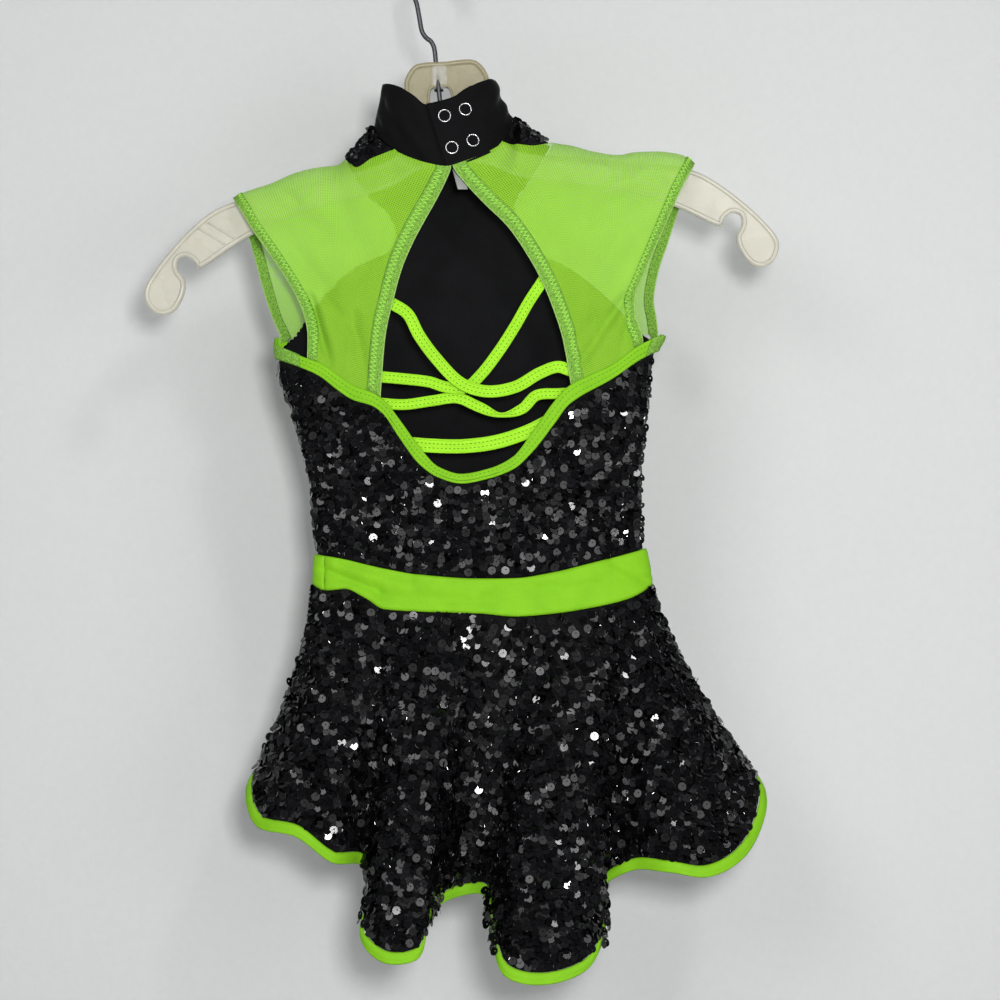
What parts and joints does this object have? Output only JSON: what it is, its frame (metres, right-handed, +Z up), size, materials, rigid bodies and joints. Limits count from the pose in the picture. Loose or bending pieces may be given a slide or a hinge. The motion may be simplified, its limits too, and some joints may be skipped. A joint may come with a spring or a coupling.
{
  "type": "child's skirted dance leotard on a plastic hanger",
  "caption": "Child's halter dance leotard with sequin bodice, mesh yokes, open strapped back and high-low skirt, hung on a plastic hanger.",
  "frame": {"origin": "under the crown of the hanger's hook, where a rail carries it", "axes": "+Z up; the garment's back faces -Y; +X to the right seen from the back"},
  "size_m": [0.3581, 0.1021, 0.5614],
  "materials": {
    "sequin": "black stretch cloth covered with glossy 5 mm cup sequins",
    "velvet": "black stretch velvet",
    "lime_mesh": "see-through lime power mesh",
    "lime_band": "doubled lime mesh with zigzag stitching",
    "lime_spandex": "matt lime spandex",
    "black_jersey": "black matt jersey",
    "label": "white satin tape",
    "nickel": "nickel-plated ring",
    "clear_plastic": "frosted clear plastic",
    "steel": "dull steel wire"
  },
  "bodies": {
    "root": {"collar": "velvet", "back_bodice": "sequin", "front_bodice": "sequin", "skirt_back": "sequin", "skirt_front": "sequin", "shoulder_piece_left": "sequin", "shoulder_piece_right": "sequin", "waistband": "lime_spandex", "back_binding": "lime_spandex", "hem_binding": "lime_spandex", "brief": "black_jersey", "neck_label": "label", "hanger_body": "clear_plastic", "hanger_hook": "steel", "back_yoke_left": "lime_mesh", "front_yoke_left": "lime_mesh", "armhole_band_left": "lime_band", "keyhole_band_left": "lime_band", "back_yoke_right": "lime_mesh", "front_yoke_right": "lime_mesh", "armhole_band_right": "lime_band", "keyhole_band_right": "lime_band", "strap_a": "lime_spandex", "strap_b": "lime_spandex", "strap_c": "lime_spandex", "strap_d": "lime_spandex", "snap_ring_1": "nickel", "snap_ring_2": "nickel", "snap_ring_3": "nickel", "snap_ring_4": "nickel"}
  },
  "joints": []
}
